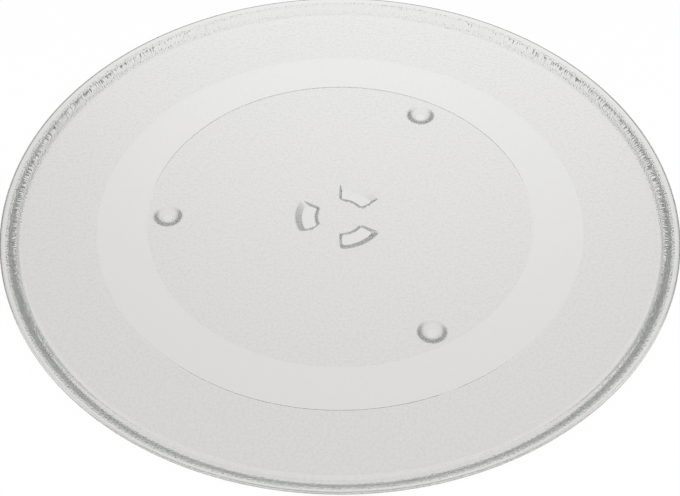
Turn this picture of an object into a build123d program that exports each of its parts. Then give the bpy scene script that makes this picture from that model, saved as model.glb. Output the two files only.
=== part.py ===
from build123d import *
from math import cos, degrees, radians, sin, tan
import os

# Turntable plate of a microwave oven, pressed from clear glass in one piece.
# Millimetres and degrees, +Z up. The origin is on the axis that the plate turns about,
# in the plane that its three feet stand on.

# Floor of the plate
PLATE_DIAMETER = 324.0
FLOOR_THICKNESS = 4.5

# Rim, which curves up from the floor and turns outward into a lip
RIM_SLOPE = 57.0
RIM_CURVE_RADIUS = 4.5
RIM_UNDER_RADIUS = 1.5
RIM_SHOULDER_RADIUS = 2.0
LIP_WIDTH = 6.0
LIP_OVERHANG = 3.8
LIP_THICKNESS = 2.9
LIP_ROOT_RADIUS = 0.8

# Rounding of the lip's upper and lower edge, as shares of its thickness
LIP_UPPER_SHARE = 0.56
LIP_LOWER_SHARE = 0.41

# Smooth track for the rollers, standing proud of the underside between two gentle ramps
TRACK_INNER_DIAMETER = 188.0
TRACK_OUTER_DIAMETER = 231.4
TRACK_STEP = 0.3
TRACK_RAMP = 1.2

# Lugs round the axis, which the arms of the drive coupler push against
LUG_COUNT = 3
LUG_INNER_RADIUS = 11.2
LUG_OUTER_RADIUS = 21.8
LUG_SPAN = 60.0
LUG_HEIGHT = 2.8
LUG_WALL_DRAFT = 18.0
LUG_BACK_DRAFT = 50.0
LUG_CORNER_RADIUS = 1.5
LUG_EDGE_RADIUS = 0.8

# Button feet, which keep the lugs off a table top
FOOT_COUNT = 3
FOOT_CIRCLE_DIAMETER = 166.4
FOOT_DIAMETER = 13.8
FOOT_HEIGHT = 3.2
FOOT_DRAFT = 40.0
FOOT_EDGE_RADIUS = 4.0

# Place of the first lug and the first foot, and the rounding where they leave the underside
FIRST_ANGLE = 180.0
ROOT_RADIUS = 1.6

# Levels above the table
underside = FOOT_HEIGHT
floor_top = underside + FLOOR_THICKNESS


def plate_section():
    """Half section of floor, rim and track, with the axis at its left edge."""
    slope = radians(RIM_SLOPE)
    bend_radii = RIM_CURVE_RADIUS + RIM_SHOULDER_RADIUS
    rim_radius = PLATE_DIAMETER / 2
    floor_edge = rim_radius - LIP_WIDTH - bend_radii * sin(slope)
    lip_top = floor_top + bend_radii * (1 - cos(slope))
    lip_under = lip_top - LIP_THICKNESS
    lip_root = rim_radius - LIP_OVERHANG
    wall_foot = lip_root - (lip_under - underside) / tan(slope)
    track_level = underside - TRACK_STEP
    track_inner = TRACK_INNER_DIAMETER / 2
    track_outer = TRACK_OUTER_DIAMETER / 2
    floor = Line((0, floor_top), (floor_edge, floor_top))
    rim_curve = JernArc(floor @ 1, floor % 1, RIM_CURVE_RADIUS, RIM_SLOPE)
    shoulder = JernArc(rim_curve @ 1, rim_curve % 1, RIM_SHOULDER_RADIUS, -RIM_SLOPE)
    lip_and_underside = Polyline(
        shoulder @ 1,
        (rim_radius, lip_top),
        (rim_radius, lip_under),
        (lip_root, lip_under),
        (wall_foot, underside),
        (track_outer + TRACK_RAMP, underside),
        (track_outer, track_level),
        (track_inner, track_level),
        (track_inner - TRACK_RAMP, underside),
        (0, underside),
        (0, floor_top),
    )
    section = make_face(floor + rim_curve + shoulder + lip_and_underside)
    for corner, radius in (
        ((rim_radius, lip_top), LIP_UPPER_SHARE * LIP_THICKNESS),
        ((rim_radius, lip_under), LIP_LOWER_SHARE * LIP_THICKNESS),
        ((lip_root, lip_under), LIP_ROOT_RADIUS),
        ((wall_foot, underside), RIM_UNDER_RADIUS),
    ):
        section = fillet(section.vertices().sort_by_distance(corner)[0], radius)
    return Plane.XZ * section


def ring_sector(inner_radius, outer_radius, span, level):
    """Sector of a ring about the axis, centred on +X, with rounded corners."""
    with BuildSketch(Plane.XY.offset(level)) as sector:
        with BuildLine():
            inner = CenterArc((0, 0), inner_radius, -span / 2, span)
            outer = CenterArc((0, 0), outer_radius, -span / 2, span)
            Line(inner @ 0, outer @ 0)
            Line(inner @ 1, outer @ 1)
        make_face()
        fillet(sector.vertices(), LUG_CORNER_RADIUS)
    return sector.sketch


def drive_lug():
    """One lug: a ring sector at the underside, narrowing to a smaller one at its tip."""
    wall_run = LUG_HEIGHT * tan(radians(LUG_WALL_DRAFT))
    back_run = LUG_HEIGHT * tan(radians(LUG_BACK_DRAFT))
    middle_radius = (LUG_INNER_RADIUS + LUG_OUTER_RADIUS) / 2
    tip_span = LUG_SPAN - 2 * degrees(wall_run / middle_radius)
    root = ring_sector(LUG_INNER_RADIUS, LUG_OUTER_RADIUS, LUG_SPAN, underside)
    tip = ring_sector(
        LUG_INNER_RADIUS + wall_run, LUG_OUTER_RADIUS - back_run, tip_span, underside - LUG_HEIGHT
    )
    lug = loft([root, tip], ruled=True)
    return fillet(lug.faces().sort_by(Axis.Z)[0].edges(), LUG_EDGE_RADIUS)


def button_foot():
    """One tapered round foot with a rounded lower edge, at its place along +X."""
    base = Pos(FOOT_CIRCLE_DIAMETER / 2, 0, underside) * Circle(FOOT_DIAMETER / 2)
    foot = extrude(base, amount=-FOOT_HEIGHT, taper=FOOT_DRAFT)
    return fillet(foot.faces().sort_by(Axis.Z)[0].edges(), FOOT_EDGE_RADIUS)


def around_axis(piece, count):
    """Copies of a piece, evenly spaced round the axis from the first angle."""
    return [Rot(0, 0, FIRST_ANGLE + 360 * i / count) * piece for i in range(count)]


def turntable_plate():
    """The plate with its lugs and feet, rounded into the underside as pressed glass is."""
    plate = revolve(plate_section(), Axis.Z)
    plate += around_axis(drive_lug(), LUG_COUNT) + around_axis(button_foot(), FOOT_COUNT)
    drive_zone = max(plate.faces().filter_by(Plane.XY), key=lambda face: len(face.inner_wires()))
    root_edges = [edge for wire in drive_zone.inner_wires() for edge in wire.edges()]
    return fillet(root_edges, ROOT_RADIUS)


os.makedirs("parts", exist_ok=True)
export_step(turntable_plate(), "parts/turntable_plate.step")
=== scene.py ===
import math

import bpy
import numpy as np
from bpy.props import FloatProperty, FloatVectorProperty, IntProperty, PointerProperty
from mathutils.geometry import tessellate_polygon
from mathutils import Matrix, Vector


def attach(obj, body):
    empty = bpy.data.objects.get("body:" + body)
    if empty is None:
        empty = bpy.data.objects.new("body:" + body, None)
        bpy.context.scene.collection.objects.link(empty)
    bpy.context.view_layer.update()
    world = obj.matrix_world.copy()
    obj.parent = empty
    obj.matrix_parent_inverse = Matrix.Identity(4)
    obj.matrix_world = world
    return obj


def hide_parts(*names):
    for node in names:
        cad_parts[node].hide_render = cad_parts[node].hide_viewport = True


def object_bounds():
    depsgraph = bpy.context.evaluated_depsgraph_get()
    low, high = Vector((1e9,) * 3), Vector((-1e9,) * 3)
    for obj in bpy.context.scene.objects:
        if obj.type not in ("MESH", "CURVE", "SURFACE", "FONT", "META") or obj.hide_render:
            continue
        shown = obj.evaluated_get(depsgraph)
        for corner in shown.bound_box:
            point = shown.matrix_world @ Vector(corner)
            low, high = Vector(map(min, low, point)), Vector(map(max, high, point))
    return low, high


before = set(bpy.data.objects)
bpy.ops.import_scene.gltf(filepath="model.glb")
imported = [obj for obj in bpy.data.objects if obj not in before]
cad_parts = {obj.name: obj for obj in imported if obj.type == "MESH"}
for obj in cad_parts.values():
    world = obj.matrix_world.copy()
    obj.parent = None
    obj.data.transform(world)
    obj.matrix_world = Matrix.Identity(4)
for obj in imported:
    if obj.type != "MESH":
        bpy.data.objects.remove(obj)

bl_info = {
    "name": "Glass turntable plate",
    "version": (1, 0, 0),
    "blender": (4, 5, 0),
    "location": "View3D > Sidebar > Turntable plate",
    "description": "Makes a microwave oven's glass turntable plate on its packed frame, with a stage",
    "category": "Object",
}

NODE = "turntable_plate"
CAD_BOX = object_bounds()
PHOTO_WIDTH = 680
CLIP_START = 0.01
LIGHT_BOUNCES = 40

# Values of the face attribute that says how a face is finished
FINISH = "finish"
FROSTED = -1
PLAIN = 0
STIPPLE = 1
RIM_STIPPLE = 2

# Number of points along the section's curves
BEND_POINTS = 20
SHOULDER_POINTS = 14
EDGE_POINTS = 16
HOLLOW_POINTS = 13
RAMP_POINTS = 15

# Number of points round a lug's outline and a foot's, and down either rounding of their walls
LUG_OUTER_POINTS = 13
LUG_INNER_POINTS = 9
LUG_CORNER_POINTS = 10
LUG_STEPS = 9
FOOT_POINTS = 72
FOOT_STEPS = 13


class PlateSizes(bpy.types.PropertyGroup):
    """Sizes of the pressed glass plate, in metres."""

    diameter: FloatProperty(
        name="Diameter", description="Across the lip", unit="LENGTH", precision=5,
        default=CAD_BOX[1].x - CAD_BOX[0].x)
    floor_thickness: FloatProperty(
        name="Floor thickness", description="Glass between the floor and the underside",
        unit="LENGTH", precision=5, default=0.0045)
    rim_slope: FloatProperty(
        name="Rim slope", description="Steepest part of the rim above the floor",
        subtype="ANGLE", default=math.radians(57))
    rim_curve_radius: FloatProperty(
        name="Rim curve", description="Radius from the floor up into the rim",
        unit="LENGTH", precision=5, default=0.0045)
    rim_under_radius: FloatProperty(
        name="Rim underside curve", description="Radius from the underside up into the rim's outer wall",
        unit="LENGTH", precision=5, default=0.0015)
    rim_shoulder_radius: FloatProperty(
        name="Rim shoulder", description="Radius from the rim out into the lip",
        unit="LENGTH", precision=5, default=0.002)
    lip_width: FloatProperty(
        name="Lip width", description="Level top of the lip, from the shoulder outwards",
        unit="LENGTH", precision=5, default=0.006)
    lip_overhang: FloatProperty(
        name="Lip overhang", description="How far the lip stands out past its root",
        unit="LENGTH", precision=5, default=0.0036)
    lip_thickness: FloatProperty(
        name="Lip thickness", description="Height of the lip's outer edge",
        unit="LENGTH", precision=5, default=0.0029)
    lip_upper_share: FloatProperty(
        name="Lip upper edge", description="Rounding of the lip's upper edge, as a share of its thickness",
        default=0.18)
    lip_lower_share: FloatProperty(
        name="Lip lower edge", description="Rounding of the lip's lower edge, as a share of its thickness",
        default=0.79)
    lip_root_radius: FloatProperty(
        name="Lip root", description="Hollow rounding where the lip leaves the rim",
        unit="LENGTH", precision=5, default=0.002)
    track_inner_diameter: FloatProperty(
        name="Track inner diameter", description="Inner border of the roller track",
        unit="LENGTH", precision=5, default=0.188)
    track_outer_diameter: FloatProperty(
        name="Track outer diameter", description="Outer border of the roller track",
        unit="LENGTH", precision=5, default=0.2314)
    track_step: FloatProperty(
        name="Track step", description="How far the track stands below the underside",
        unit="LENGTH", precision=5, default=0.0003)
    track_ramp: FloatProperty(
        name="Track ramp", description="Width of the soft step at either border of the track",
        unit="LENGTH", precision=5, default=0.0012)
    lug_inner_radius: FloatProperty(
        name="Lug inner radius", description="Root of a drive lug, nearest the axis",
        unit="LENGTH", precision=5, default=0.0112)
    lug_outer_radius: FloatProperty(
        name="Lug outer radius", description="Root of a drive lug, furthest from the axis",
        unit="LENGTH", precision=5, default=0.0218)
    lug_span: FloatProperty(
        name="Lug span", description="Angle that a lug takes up round the axis",
        subtype="ANGLE", default=math.radians(60))
    lug_height: FloatProperty(
        name="Lug height", description="How far a lug stands below the underside",
        unit="LENGTH", precision=5, default=0.0028)
    lug_wall_draft: FloatProperty(
        name="Lug wall draft", description="Lean of the walls that the coupler pushes on",
        subtype="ANGLE", default=math.radians(18))
    lug_back_draft: FloatProperty(
        name="Lug back draft", description="Lean of the lug's outer wall",
        subtype="ANGLE", default=math.radians(50))
    lug_corner_radius: FloatProperty(
        name="Lug corners", description="Rounding of a lug's outline",
        unit="LENGTH", precision=5, default=0.0015)
    lug_edge_radius: FloatProperty(
        name="Lug edges", description="Rounding round a lug's lower face",
        unit="LENGTH", precision=5, default=0.0008)
    foot_circle_diameter: FloatProperty(
        name="Foot circle", description="Diameter of the circle that the feet are on",
        unit="LENGTH", precision=5, default=0.1664)
    foot_diameter: FloatProperty(
        name="Foot diameter", description="Across a foot at the underside",
        unit="LENGTH", precision=5, default=0.0138)
    foot_height: FloatProperty(
        name="Foot height", description="How far a foot stands below the underside",
        unit="LENGTH", precision=5, default=0.0032)
    foot_draft: FloatProperty(
        name="Foot draft", description="Lean of a foot's wall",
        subtype="ANGLE", default=math.radians(40))
    foot_edge_radius: FloatProperty(
        name="Foot edge", description="Rounding round a foot's lower face",
        unit="LENGTH", precision=5, default=0.004)
    root_radius: FloatProperty(
        name="Roots", description="Hollow rounding where lugs and feet leave the underside",
        unit="LENGTH", precision=5, default=0.0016)
    copies: IntProperty(
        name="Copies", description="Number of lugs, and of feet, round the axis", default=3)
    first_angle: FloatProperty(
        name="First angle", description="Place of the first lug and foot round the axis",
        subtype="ANGLE", default=math.radians(180))
    sectors: IntProperty(
        name="Sectors", description="Facets round the plate", default=384)


class GlassFinish(bpy.types.PropertyGroup):
    """Colour and surface of the pressed glass."""

    tint: FloatVectorProperty(
        name="Tint", description="Light that two faces of the glass let through",
        subtype="COLOR", size=3, min=0, max=1, default=(0.971, 0.968, 0.965))
    ior: FloatProperty(
        name="Refraction", description="Index of refraction of soda-lime glass", default=1.52)
    roughness: FloatProperty(
        name="Roughness", description="Roughness of the fire-polished faces", default=0.02)
    frost: FloatProperty(
        name="Frost", description="Roughness of the walls of lugs and feet, which the mould leaves dull",
        default=0.42)
    edge_colour: FloatVectorProperty(
        name="Edge colour", description="Colour that long ways through the glass take on",
        subtype="COLOR", size=3, min=0, max=1, default=(0.70, 0.735, 0.705))
    edge_density: FloatProperty(
        name="Edge density", description="How fast the glass takes on its edge colour, per metre",
        default=5.0)
    stipple_pitch: FloatProperty(
        name="Stipple pitch", description="Distance from one grain of the stipple to the next",
        unit="LENGTH", precision=5, default=0.0016)
    stipple_depth: FloatProperty(
        name="Stipple depth", description="Height of the stipple's grains",
        unit="LENGTH", precision=5, default=0.00014)
    rim_gain: FloatProperty(
        name="Rim gain", description="How much higher the grains are on the rim", default=2.4)
    rim_fineness: FloatProperty(
        name="Rim fineness", description="How much closer together the grains are on the rim", default=2.0)
    rim_radius: FloatProperty(
        name="Rim radius", description="Radius at which the rim's grains are laid round",
        unit="LENGTH", precision=4, default=0.156)
    rim_stretch: FloatProperty(
        name="Rim stretch", description="How far a grain's place on the rim follows its height",
        default=0.543)
    stipple_tint: FloatVectorProperty(
        name="Stipple tint", description="Light that the glass lets through where it is stippled",
        subtype="COLOR", size=3, min=0, max=1, default=(0.84, 0.835, 0.825))
    stipple_shade: FloatProperty(
        name="Stipple shade", description="How far the stipple takes on its tint", default=0.4)
    stipple_contrast: FloatProperty(
        name="Stipple contrast", description="How much more of it lies between the grains", default=1.6)
    stipple_softness: FloatProperty(
        name="Stipple softness", description="How far one grain of the stipple runs into the next",
        default=0.3)


class StageSettings(bpy.types.PropertyGroup):
    """Floor, light and camera."""

    floor_size: FloatProperty(
        name="Floor size", description="Side of the square floor", unit="LENGTH", default=12.0)
    floor_gap: FloatProperty(
        name="Floor gap", description="Air between the feet and the floor, which keeps them apart",
        unit="LENGTH", precision=5, default=0.0003)
    floor_colour: FloatVectorProperty(
        name="Floor colour", description="Colour of the floor in the lamp's light",
        subtype="COLOR", size=3, min=0, max=1, default=(0.9, 0.9, 0.9))
    floor_glow: FloatProperty(
        name="Floor glow", description="Share of the floor that shows plain white", default=0.9)
    # Painted shade: the darker colour that the floor's glow takes on through glass, in front and at the
    # sides, standing in for light that falls off there
    painted_floor_shade: FloatVectorProperty(
        name="Floor shade", description="Colour of the floor below the plate's near side",
        subtype="COLOR", size=3, min=0, max=1, default=(0.82, 0.812, 0.795))
    shade_reach: FloatProperty(
        name="Shade reach",
        description="How far behind the axis the shade begins, and how far in front it is full",
        unit="LENGTH", default=0.2)
    shade_lean: FloatProperty(
        name="Shade lean", description="How much sooner the shade comes towards the left", default=0.3)
    shade_bend: FloatProperty(
        name="Shade bend", description="How much sooner the shade comes towards either side, per metre",
        default=4.0)
    back: FloatProperty(
        name="Back", description="Brightness of the surroundings behind the plate", default=1.0)
    front: FloatProperty(
        name="Front", description="Brightness of the surroundings in front and at the sides", default=0.35)
    back_start: FloatProperty(
        name="Back start", description="How far round to the back the brightness starts to rise",
        default=0.1)
    back_end: FloatProperty(
        name="Back end", description="How far round to the back it is full", default=0.95)
    zenith: FloatProperty(
        name="Zenith", description="Brightness of the surroundings overhead", default=0.3)
    fade_start: FloatProperty(
        name="Fade start", description="Height in the sky where the horizon's light starts to fade",
        default=0.4)
    fade_end: FloatProperty(
        name="Fade end", description="Height in the sky where the light overhead is reached",
        default=0.85)
    lamp_power: FloatProperty(
        name="Lamp power", description="Power of the soft lamp", subtype="POWER", default=76.0)
    lamp_size: FloatProperty(
        name="Lamp size", description="Diameter of the soft lamp", unit="LENGTH", default=0.6)
    lamp_place: FloatVectorProperty(
        name="Lamp place", description="Place of the soft lamp", subtype="TRANSLATION", size=3,
        default=(0.0, -1.9, 2.05))
    camera_distance: FloatProperty(
        name="Camera distance", description="From the camera to its target",
        unit="LENGTH", precision=4, default=0.7004)
    camera_elevation: FloatProperty(
        name="Camera elevation", description="Angle at which the camera looks down",
        subtype="ANGLE", default=math.radians(47.383))
    target_offset: FloatProperty(
        name="Target offset", description="Camera's target, in front of the axis on the floor of the plate",
        unit="LENGTH", precision=4, default=0.0237)
    focal_pixels: FloatProperty(
        name="Focal length in pixels", description="Focal length at the photograph's width",
        default=1485.2)


def arc(centre, radius, start, end, count):
    """Points (radius, height) on a circle about a centre, from one angle to another, in radians."""
    turn = np.linspace(start, end, count)
    return np.stack([centre[0] + radius * np.cos(turn), centre[1] + radius * np.sin(turn)], axis=1)


def ramp(start, end, count):
    """Points on a soft step between two levels: the height follows half a cosine wave."""
    share = np.linspace(0, 1, count)
    height = start[1] + (end[1] - start[1]) * (1 - np.cos(np.pi * share)) / 2
    return np.stack([start[0] + (end[0] - start[0]) * share, height], axis=1)


def plate_section(size):
    """Half section of the plate, from the axis over floor, rim and lip, and back below to the drive zone.

    It is a list of stretches. Each is an array of points (radius, height), whether it is curved,
    and its finish. A stretch starts where the one before it ends.
    """
    up = math.pi / 2
    down = -math.pi / 2
    slope = size.rim_slope
    underside = size.foot_height
    floor_top = underside + size.floor_thickness
    rim = size.diameter / 2

    # Inside, the rim curves up from the floor and bends outward into the lip
    curve = size.rim_curve_radius
    bends = curve + size.rim_shoulder_radius
    floor_edge = rim - size.lip_width - bends * math.sin(slope)
    lip_top = floor_top + bends * (1 - math.cos(slope))
    shoulder = (rim - size.lip_width, lip_top - size.rim_shoulder_radius)

    # Below the lip a straight wall goes down to the underside. It is rounded at its root and its foot
    upper = size.lip_upper_share * size.lip_thickness
    lower = size.lip_lower_share * size.lip_thickness
    lip_under = lip_top - size.lip_thickness
    lip_root = rim - size.lip_overhang
    wall_foot = lip_root - (lip_under - underside) / math.tan(slope)
    touch = math.tan(slope / 2)
    hollow = (lip_root + size.lip_root_radius * touch, lip_under - size.lip_root_radius)
    corner = (wall_foot - size.rim_under_radius * touch, underside + size.rim_under_radius)

    # The track is a step down between two soft ramps
    track_level = underside - size.track_step
    track_inner = size.track_inner_diameter / 2
    track_outer = size.track_outer_diameter / 2
    outer_ramp = (track_outer + size.track_ramp, underside)
    inner_ramp = (track_inner - size.track_ramp, underside)
    return [
        (np.array([(0, floor_top), (floor_edge / 2, floor_top), (floor_edge, floor_top)]), False, PLAIN),
        (arc((floor_edge, floor_top + curve), curve, down, down + slope, BEND_POINTS), True, PLAIN),
        (arc(shoulder, size.rim_shoulder_radius, up + slope, up, SHOULDER_POINTS), True, PLAIN),
        (np.array([(rim - upper, lip_top)]), False, PLAIN),
        (arc((rim - upper, lip_top - upper), upper, up, 0, EDGE_POINTS), True, PLAIN),
        (np.array([(rim, lip_under + lower)]), True, PLAIN),
        (arc((rim - lower, lip_under + lower), lower, 0, down, EDGE_POINTS), True, PLAIN),
        (np.array([(hollow[0], lip_under)]), False, PLAIN),
        (arc(hollow, size.lip_root_radius, up, up + slope, HOLLOW_POINTS), True, RIM_STIPPLE),
        (arc(corner, size.rim_under_radius, down + slope, down, BEND_POINTS), True, RIM_STIPPLE),
        (np.array([outer_ramp]), False, STIPPLE),
        (ramp(outer_ramp, (track_outer, track_level), RAMP_POINTS), True, PLAIN),
        (np.array([(track_inner, track_level)]), False, PLAIN),
        (ramp((track_inner, track_level), inner_ramp, RAMP_POINTS), True, PLAIN),
    ]


class GlassBody:
    """Vertices and faces of the plate, gathered surface by surface before they become one mesh."""

    def __init__(self):
        self.points = np.zeros((0, 3))
        self.faces = []
        self.smooth = []
        self.finish = []

    def add_points(self, points):
        """Adds points, and returns their numbers."""
        first = len(self.points)
        self.points = np.concatenate([self.points, points])
        return np.arange(first, first + len(points))

    def add_faces(self, faces, smooth, finish):
        """Adds faces that share a finish, given as rows of vertex numbers."""
        self.faces += faces.tolist()
        self.smooth += [smooth] * len(faces)
        self.finish += [float(finish)] * len(faces)

    def add_band(self, ring, next_ring, smooth, finish):
        """Joins two closed rings of as many vertices with a band of quads."""
        quads = np.stack([ring, next_ring, np.roll(next_ring, -1), np.roll(ring, -1)], axis=1)
        self.add_faces(quads, smooth, finish)

    def add_fan(self, ring, centre, smooth, finish):
        """Closes a ring with triangles to one middle vertex."""
        middle = np.full(len(ring), self.add_points(centre[None])[0])
        self.add_faces(np.stack([ring, middle, np.roll(ring, -1)], axis=1), smooth, finish)

    def add_level_face(self, rings, smooth, finish):
        """Fills the level region inside the first ring and outside the others, facing down."""
        loops = [[tuple(point) for point in self.points[ring]] for ring in rings]
        triangles = np.concatenate(rings)[np.array(tessellate_polygon(loops))]
        a, b, c = (self.points[triangles[:, k], :2] for k in range(3))
        first, second = b - a, c - a
        upward = first[:, 0] * second[:, 1] - first[:, 1] * second[:, 0] > 0
        triangles[upward] = triangles[upward, ::-1]
        self.add_faces(triangles, smooth, finish)


def turn_section(body, size):
    """Turns the half section about the axis, and returns the ring that it ends on.

    A vertex at section point (r, z) and angle a is (r cos a, r sin a, z).
    """
    angle = np.linspace(0, 2 * np.pi, size.sectors, endpoint=False)
    circle = np.stack([np.cos(angle), np.sin(angle)], axis=1)
    ring = None
    for stretch, smooth, finish in plate_section(size):
        for radius, height in stretch:
            if radius == 0:
                axis_point = np.array([0, 0, height])
                continue
            points = np.column_stack([radius * circle, np.full(size.sectors, height)])
            if ring is None:
                ring = body.add_points(points)
                body.add_fan(ring[::-1], axis_point, smooth, finish)
                continue
            if np.allclose(points[0], body.points[ring[0]], atol=1e-9):
                continue
            next_ring = body.add_points(points)
            body.add_band(ring, next_ring, smooth, finish)
            ring = next_ring
    return ring


def circle_outline(centre, radius, count):
    """Closed circle in the plane, anticlockwise."""
    turn = np.linspace(0, 2 * np.pi, count, endpoint=False)
    return np.array(centre) + radius * np.stack([np.cos(turn), np.sin(turn)], axis=1)


def sector_outline(inner, outer, span, corner):
    """Closed outline of a ring sector about the axis, centred on +X, anticlockwise with round corners.

    A corner's centre is one corner radius inside the arc and inside the straight side.
    """
    side = span / 2
    outer_turn = side - math.asin(corner / (outer - corner))
    inner_turn = side - math.asin(corner / (inner + corner))
    outer_centre = (outer - corner) * np.array([math.cos(outer_turn), math.sin(outer_turn)])
    inner_centre = (inner + corner) * np.array([math.cos(inner_turn), math.sin(inner_turn)])
    across = side + math.pi / 2
    half = np.concatenate([
        arc((0, 0), outer, 0, outer_turn, LUG_OUTER_POINTS)[:-1],
        arc(outer_centre, corner, outer_turn, across, LUG_CORNER_POINTS),
        arc(inner_centre, corner, across, math.pi + inner_turn, LUG_CORNER_POINTS)[:-1],
        arc((0, 0), inner, inner_turn, 0, LUG_INNER_POINTS),
    ])
    mirrored = half[-2:0:-1] * (1, -1)
    return np.concatenate([half, mirrored])


def boss_rings(root, tip, height, level, root_radius, edge_radius, steps):
    """Rings down the wall of a boss that narrows from a root outline to a tip outline.

    At each outline point the wall is a straight line from root to tip, in a plane through both.
    An arc of root_radius leads into it from the level underside, and an arc of edge_radius leads
    out of it into the level tip. Either arc touches both of its lines at radius times the
    tangent of half the wall's steepness.
    """
    run = tip - root
    length = np.linalg.norm(run, axis=1)
    steep = np.arctan2(height, length)
    share = np.linspace(0, 1, steps)[:, None]
    root_turn = share * steep
    edge_turn = (1 - share) * steep
    touch = np.tan(steep / 2)
    along = np.concatenate([
        root_radius * (np.sin(root_turn) - touch),
        length - edge_radius * (np.sin(edge_turn) - touch),
    ])
    drop = np.concatenate([
        root_radius * (1 - np.cos(root_turn)),
        height - edge_radius * (1 - np.cos(edge_turn)),
    ])
    flat = root + along[:, :, None] * (run / length[:, None])
    return np.concatenate([flat, level - drop[:, :, None]], axis=2)


def add_boss(body, rings, turn):
    """Adds a boss, turned about the axis, and returns its ring on the underside."""
    cosine, sine = math.cos(turn), math.sin(turn)
    about_axis = np.array([(cosine, sine, 0), (-sine, cosine, 0), (0, 0, 1)])
    numbers = [body.add_points(ring @ about_axis)[::-1] for ring in rings]
    for ring, next_ring in zip(numbers[:-1], numbers[1:]):
        body.add_band(next_ring, ring, True, FROSTED)
    body.add_fan(numbers[-1][::-1], body.points[numbers[-1]].mean(axis=0), False, PLAIN)
    return numbers[0]


def lug_rings(size):
    """Rings down one drive lug, which lies along +X."""
    wall_run = size.lug_height * math.tan(size.lug_wall_draft)
    back_run = size.lug_height * math.tan(size.lug_back_draft)
    middle = (size.lug_inner_radius + size.lug_outer_radius) / 2
    root = sector_outline(
        size.lug_inner_radius, size.lug_outer_radius, size.lug_span, size.lug_corner_radius)
    tip = sector_outline(
        size.lug_inner_radius + wall_run, size.lug_outer_radius - back_run,
        size.lug_span - 2 * wall_run / middle, size.lug_corner_radius)
    return boss_rings(
        root, tip, size.lug_height, size.foot_height, size.root_radius, size.lug_edge_radius, LUG_STEPS)


def foot_rings(size):
    """Rings down one button foot, which lies along +X."""
    centre = (size.foot_circle_diameter / 2, 0)
    base = size.foot_diameter / 2
    tip = base - size.foot_height * math.tan(size.foot_draft)
    return boss_rings(
        circle_outline(centre, base, FOOT_POINTS), circle_outline(centre, tip, FOOT_POINTS),
        size.foot_height, size.foot_height, size.root_radius, size.foot_edge_radius, FOOT_STEPS)


def glass_mesh(size):
    """One closed mesh of the whole plate, with a face attribute that says how each face is finished."""
    body = GlassBody()
    drive_zone = turn_section(body, size)
    turns = [size.first_angle + 2 * math.pi * copy / size.copies for copy in range(size.copies)]
    kinds = (lug_rings(size), foot_rings(size))
    bosses = [add_boss(body, rings, turn) for rings in kinds for turn in turns]
    body.add_level_face([drive_zone] + bosses, False, STIPPLE)
    mesh = bpy.data.meshes.new("glass_plate")
    mesh.from_pydata(body.points, [], body.faces)
    mesh.polygons.foreach_set("use_smooth", body.smooth)
    finish = mesh.attributes.new(FINISH, "FLOAT", "FACE")
    finish.data.foreach_set("value", body.finish)
    if mesh.validate(verbose=True):
        raise RuntimeError("the glass mesh has faulty faces")
    uses = np.zeros(len(mesh.edges), int)
    edges_of_loops = np.zeros(len(mesh.loops), int)
    mesh.loops.foreach_get("edge_index", edges_of_loops)
    np.add.at(uses, edges_of_loops, 1)
    if (uses != 2).any():
        raise RuntimeError(f"{(uses != 2).sum()} edges of the glass mesh are open")
    mesh.update()
    return mesh


def math_node(tree, operation, *values):
    """Puts a Math node into a node tree, fed by numbers and sockets, and returns its output."""
    node = tree.nodes.new("ShaderNodeMath")
    node.operation = operation
    for socket, value in zip(node.inputs, values):
        if isinstance(value, bpy.types.NodeSocket):
            tree.links.new(value, socket)
        else:
            socket.default_value = value
    return node.outputs[0]


def soft_range(tree, value, source, target):
    """Puts a smooth Map Range node into a node tree, and returns its output."""
    node = tree.nodes.new("ShaderNodeMapRange")
    node.interpolation_type = "SMOOTHSTEP"
    node.inputs["From Min"].default_value = source[0]
    node.inputs["From Max"].default_value = source[1]
    node.inputs["To Min"].default_value = target[0]
    node.inputs["To Max"].default_value = target[1]
    tree.links.new(value, node.inputs["Value"])
    return node.outputs["Result"]


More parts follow.
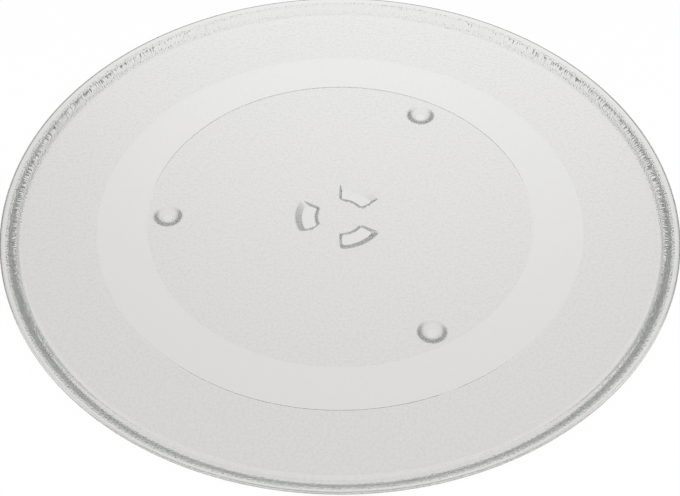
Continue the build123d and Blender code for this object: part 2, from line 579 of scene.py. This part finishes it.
def glass_material(finish):
    """Clear glass, faintly green through its edges, with a fine pressed stipple and dull bosses below."""
    material = bpy.data.materials.new("pressed_glass")
    material.use_nodes = True
    tree = material.node_tree
    shader = tree.nodes["Principled BSDF"]
    shader.inputs["Base Color"].default_value = (*finish.tint, 1)
    shader.inputs["Roughness"].default_value = finish.roughness
    shader.inputs["IOR"].default_value = finish.ior
    shader.inputs["Transmission Weight"].default_value = 1

    inside = tree.nodes.new("ShaderNodeVolumeAbsorption")
    inside.inputs["Color"].default_value = (*finish.edge_colour, 1)
    inside.inputs["Density"].default_value = finish.edge_density
    tree.links.new(inside.outputs["Volume"], tree.nodes["Material Output"].inputs["Volume"])

    # Masks of the stippled faces, of those among them that are on the rim, and of the dull ones
    zone = tree.nodes.new("ShaderNodeAttribute")
    zone.attribute_name = FINISH
    stippled = math_node(tree, "MINIMUM", math_node(tree, "MAXIMUM", zone.outputs["Fac"], 0), 1)
    on_rim = math_node(tree, "MAXIMUM", math_node(tree, "SUBTRACT", zone.outputs["Fac"], 1), 0)
    frosted = math_node(tree, "MAXIMUM", math_node(tree, "MULTIPLY", zone.outputs["Fac"], -1), 0)
    tree.links.new(
        math_node(tree, "MULTIPLY_ADD", frosted, finish.frost - finish.roughness, finish.roughness),
        shader.inputs["Roughness"])

    # On the rim the grains follow the way round and the slope, and below the floor they lie flat
    place = tree.nodes.new("ShaderNodeTexCoord")
    grain = tree.nodes.new("ShaderNodeTexVoronoi")
    grain.voronoi_dimensions = "2D"
    grain.feature = "SMOOTH_F1"
    grain.inputs["Scale"].default_value = 1 / finish.stipple_pitch
    grain.inputs["Smoothness"].default_value = finish.stipple_softness
    parts = tree.nodes.new("ShaderNodeSeparateXYZ")
    tree.links.new(place.outputs["Object"], parts.inputs["Vector"])
    turn = math_node(tree, "ARCTAN2", parts.outputs["Y"], parts.outputs["X"])
    squares = math_node(
        tree, "ADD", math_node(tree, "POWER", parts.outputs["X"], 2),
        math_node(tree, "POWER", parts.outputs["Y"], 2))
    radius = math_node(tree, "SQRT", squares)
    wrapped = tree.nodes.new("ShaderNodeCombineXYZ")
    way_round = math_node(tree, "MULTIPLY", turn, finish.rim_radius * finish.rim_fineness)
    slant = math_node(tree, "MULTIPLY_ADD", parts.outputs["Z"], finish.rim_stretch, radius)
    tree.links.new(way_round, wrapped.inputs["X"])
    tree.links.new(math_node(tree, "MULTIPLY", slant, finish.rim_fineness), wrapped.inputs["Y"])
    spread = tree.nodes.new("ShaderNodeMix")
    spread.data_type = "VECTOR"
    ends = {socket.identifier: socket for socket in spread.inputs}
    tree.links.new(on_rim, ends["Factor_Float"])
    tree.links.new(place.outputs["Object"], ends["A_Vector"])
    tree.links.new(wrapped.outputs["Vector"], ends["B_Vector"])
    tree.links.new(spread.outputs[1], grain.inputs["Vector"])

    # A grain is a round dimple. It bends the light, and the glass lets less through between dimples
    dimple = math_node(tree, "POWER", grain.outputs["Distance"], 2)
    strength = math_node(tree, "MULTIPLY_ADD", on_rim, finish.rim_gain - 1, stippled)
    height = math_node(tree, "MULTIPLY", dimple, strength)
    bump = tree.nodes.new("ShaderNodeBump")
    bump.inputs["Distance"].default_value = finish.stipple_depth
    tree.links.new(height, bump.inputs["Height"])
    tree.links.new(bump.outputs["Normal"], shader.inputs["Normal"])

    shade = math_node(tree, "MULTIPLY_ADD", dimple, finish.stipple_contrast, finish.stipple_shade)
    tone = tree.nodes.new("ShaderNodeMix")
    tone.data_type = "RGBA"
    sockets = {socket.identifier: socket for socket in tone.inputs}
    sockets["A_Color"].default_value = (*finish.tint, 1)
    sockets["B_Color"].default_value = (*finish.stipple_tint, 1)
    tree.links.new(math_node(tree, "MULTIPLY", shade, stippled), sockets["Factor_Float"])
    tree.links.new(tone.outputs[2], shader.inputs["Base Color"])
    return material


def white_ground_material(stage):
    """Pale floor that takes shadows, and mostly shows plain white to the eye, in gloss and through glass.

    Through glass it shows a painted shade where y + lean * x - bend * x * x is low, which is in front and
    at the sides: its glow is darkened there, standing in for light that falls off towards the front and the
    sides.
    """
    material = bpy.data.materials.new("white_ground")
    material.use_nodes = True
    tree = material.node_tree
    tree.nodes.clear()
    lit = tree.nodes.new("ShaderNodeBsdfDiffuse")
    lit.inputs["Color"].default_value = (*stage.floor_colour, 1)
    glow = tree.nodes.new("ShaderNodeEmission")
    path = tree.nodes.new("ShaderNodeLightPath")
    place = tree.nodes.new("ShaderNodeTexCoord")
    parts = tree.nodes.new("ShaderNodeSeparateXYZ")
    tree.links.new(place.outputs["Object"], parts.inputs["Vector"])
    # Painted shade on the floor's glow, seen only through glass: it darkens towards the front and the
    # sides, where light falls off
    leaning = math_node(tree, "MULTIPLY_ADD", parts.outputs["X"], -stage.shade_bend, stage.shade_lean)
    depth = math_node(tree, "MULTIPLY_ADD", parts.outputs["X"], leaning, parts.outputs["Y"])
    painted_shade_share = soft_range(tree, depth, (-stage.shade_reach, stage.shade_reach), (1, 0))
    tone = tree.nodes.new("ShaderNodeMix")
    tone.data_type = "RGBA"
    sockets = {socket.identifier: socket for socket in tone.inputs}
    sockets["A_Color"].default_value = (1, 1, 1, 1)
    sockets["B_Color"].default_value = (*stage.painted_floor_shade, 1)
    # The glow takes on the painted shade only for rays that come through glass
    tree.links.new(
        math_node(tree, "MULTIPLY", painted_shade_share, path.outputs["Is Transmission Ray"]), sockets["Factor_Float"])
    tree.links.new(tone.outputs[2], glow.inputs["Color"])
    seen = math_node(
        tree, "MAXIMUM", path.outputs["Is Camera Ray"],
        math_node(tree, "MAXIMUM", path.outputs["Is Glossy Ray"], path.outputs["Is Transmission Ray"]))
    mix = tree.nodes.new("ShaderNodeMixShader")
    tree.links.new(math_node(tree, "MULTIPLY", seen, stage.floor_glow), mix.inputs["Fac"])
    tree.links.new(lit.outputs["BSDF"], mix.inputs[1])
    tree.links.new(glow.outputs["Emission"], mix.inputs[2])
    output = tree.nodes.new("ShaderNodeOutputMaterial")
    tree.links.new(mix.outputs["Shader"], output.inputs["Surface"])
    return material


def soft_surroundings(stage):
    """World that is white to the camera.

    For other rays it is bright at the back, dimmer in front and at the sides, and dim overhead.
    """
    world = bpy.data.worlds.new("soft_surroundings")
    world.use_nodes = True
    tree = world.node_tree
    place = tree.nodes.new("ShaderNodeTexCoord")
    parts = tree.nodes.new("ShaderNodeSeparateXYZ")
    tree.links.new(place.outputs["Generated"], parts.inputs["Vector"])
    horizon = soft_range(
        tree, parts.outputs["Y"], (stage.back_start, stage.back_end), (stage.front, stage.back))
    overhead = soft_range(tree, parts.outputs["Z"], (stage.fade_start, stage.fade_end), (0, 1))
    above = math_node(tree, "MULTIPLY", overhead, stage.zenith)
    around = math_node(tree, "MULTIPLY", math_node(tree, "SUBTRACT", 1, overhead), horizon)
    path = tree.nodes.new("ShaderNodeLightPath")
    strength = math_node(
        tree, "MAXIMUM", math_node(tree, "ADD", above, around), path.outputs["Is Camera Ray"])
    background = tree.nodes["Background"]
    background.inputs["Color"].default_value = (1, 1, 1, 1)
    tree.links.new(strength, background.inputs["Strength"])
    bpy.context.scene.world = world


def link(name, data):
    """New object at the origin, in the scene."""
    obj = bpy.data.objects.new(name, data)
    bpy.context.scene.collection.objects.link(obj)
    return obj


class TURNTABLE_OT_glass_plate(bpy.types.Operator):
    """Make the glass plate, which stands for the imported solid"""

    bl_idname = "turntable.glass_plate"
    bl_label = "Glass plate"

    def execute(self, context):
        scene = context.scene
        plate = link("glass_plate", glass_mesh(scene.plate_sizes))
        plate.data.materials.append(glass_material(scene.glass_finish))
        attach(plate, "root")
        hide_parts(NODE)
        return {"FINISHED"}


class TURNTABLE_OT_stage(bpy.types.Operator):
    """Make the floor, the light and the camera"""

    bl_idname = "turntable.stage"
    bl_label = "Stage"

    def execute(self, context):
        scene = context.scene
        stage = scene.stage_settings
        sizes = scene.plate_sizes

        half = stage.floor_size / 2
        corners = [(x * half, y * half, -stage.floor_gap) for x, y in ((-1, -1), (1, -1), (1, 1), (-1, 1))]
        sheet = bpy.data.meshes.new("floor")
        sheet.from_pydata(corners, [], [(0, 1, 2, 3)])
        sheet.materials.append(white_ground_material(stage))
        link("floor", sheet)
        soft_surroundings(stage)

        light = bpy.data.lights.new("soft_lamp", "AREA")
        light.shape = "DISK"
        light.size = stage.lamp_size
        light.energy = stage.lamp_power
        lamp = link("soft_lamp", light)
        lamp.location = stage.lamp_place
        lamp.rotation_euler = (-lamp.location).to_track_quat("-Z", "Y").to_euler()
        lamp.visible_camera = False
        lamp.visible_glossy = False
        lamp.visible_transmission = False

        view = bpy.data.cameras.new("camera")
        view.lens = stage.focal_pixels / PHOTO_WIDTH * view.sensor_width
        view.clip_start = CLIP_START
        camera = link("camera", view)
        floor_top = sizes.foot_height + sizes.floor_thickness
        back = stage.camera_distance * math.cos(stage.camera_elevation)
        up = stage.camera_distance * math.sin(stage.camera_elevation)
        camera.location = (0, -stage.target_offset - back, floor_top + up)
        camera.rotation_euler = (math.pi / 2 - stage.camera_elevation, 0, 0)
        scene.camera = camera

        scene.view_settings.view_transform = "Standard"
        scene.cycles.max_bounces = LIGHT_BOUNCES
        scene.cycles.glossy_bounces = LIGHT_BOUNCES
        scene.cycles.transmission_bounces = LIGHT_BOUNCES
        return {"FINISHED"}


class TURNTABLE_PT_panel(bpy.types.Panel):
    """Sizes, finish and stage of the turntable plate"""

    bl_idname = "TURNTABLE_PT_panel"
    bl_label = "Turntable plate"
    bl_space_type = "VIEW_3D"
    bl_region_type = "UI"
    bl_category = "Turntable plate"

    def draw(self, context):
        layout = self.layout
        for operator, settings in (
            (TURNTABLE_OT_glass_plate, (context.scene.plate_sizes, context.scene.glass_finish)),
            (TURNTABLE_OT_stage, (context.scene.stage_settings,)),
        ):
            layout.operator(operator.bl_idname)
            for group in settings:
                for name in group.__annotations__:
                    layout.prop(group, name)


CLASSES = (
    PlateSizes,
    GlassFinish,
    StageSettings,
    TURNTABLE_OT_glass_plate,
    TURNTABLE_OT_stage,
    TURNTABLE_PT_panel,
)


def register():
    for cls in CLASSES:
        bpy.utils.register_class(cls)
    bpy.types.Scene.plate_sizes = PointerProperty(type=PlateSizes)
    bpy.types.Scene.glass_finish = PointerProperty(type=GlassFinish)
    bpy.types.Scene.stage_settings = PointerProperty(type=StageSettings)


def unregister():
    del bpy.types.Scene.stage_settings
    del bpy.types.Scene.glass_finish
    del bpy.types.Scene.plate_sizes
    for cls in reversed(CLASSES):
        bpy.utils.unregister_class(cls)


def main():
    register()
    bpy.ops.turntable.glass_plate()
    bpy.ops.turntable.stage()


if __name__ == "__main__":
    main()
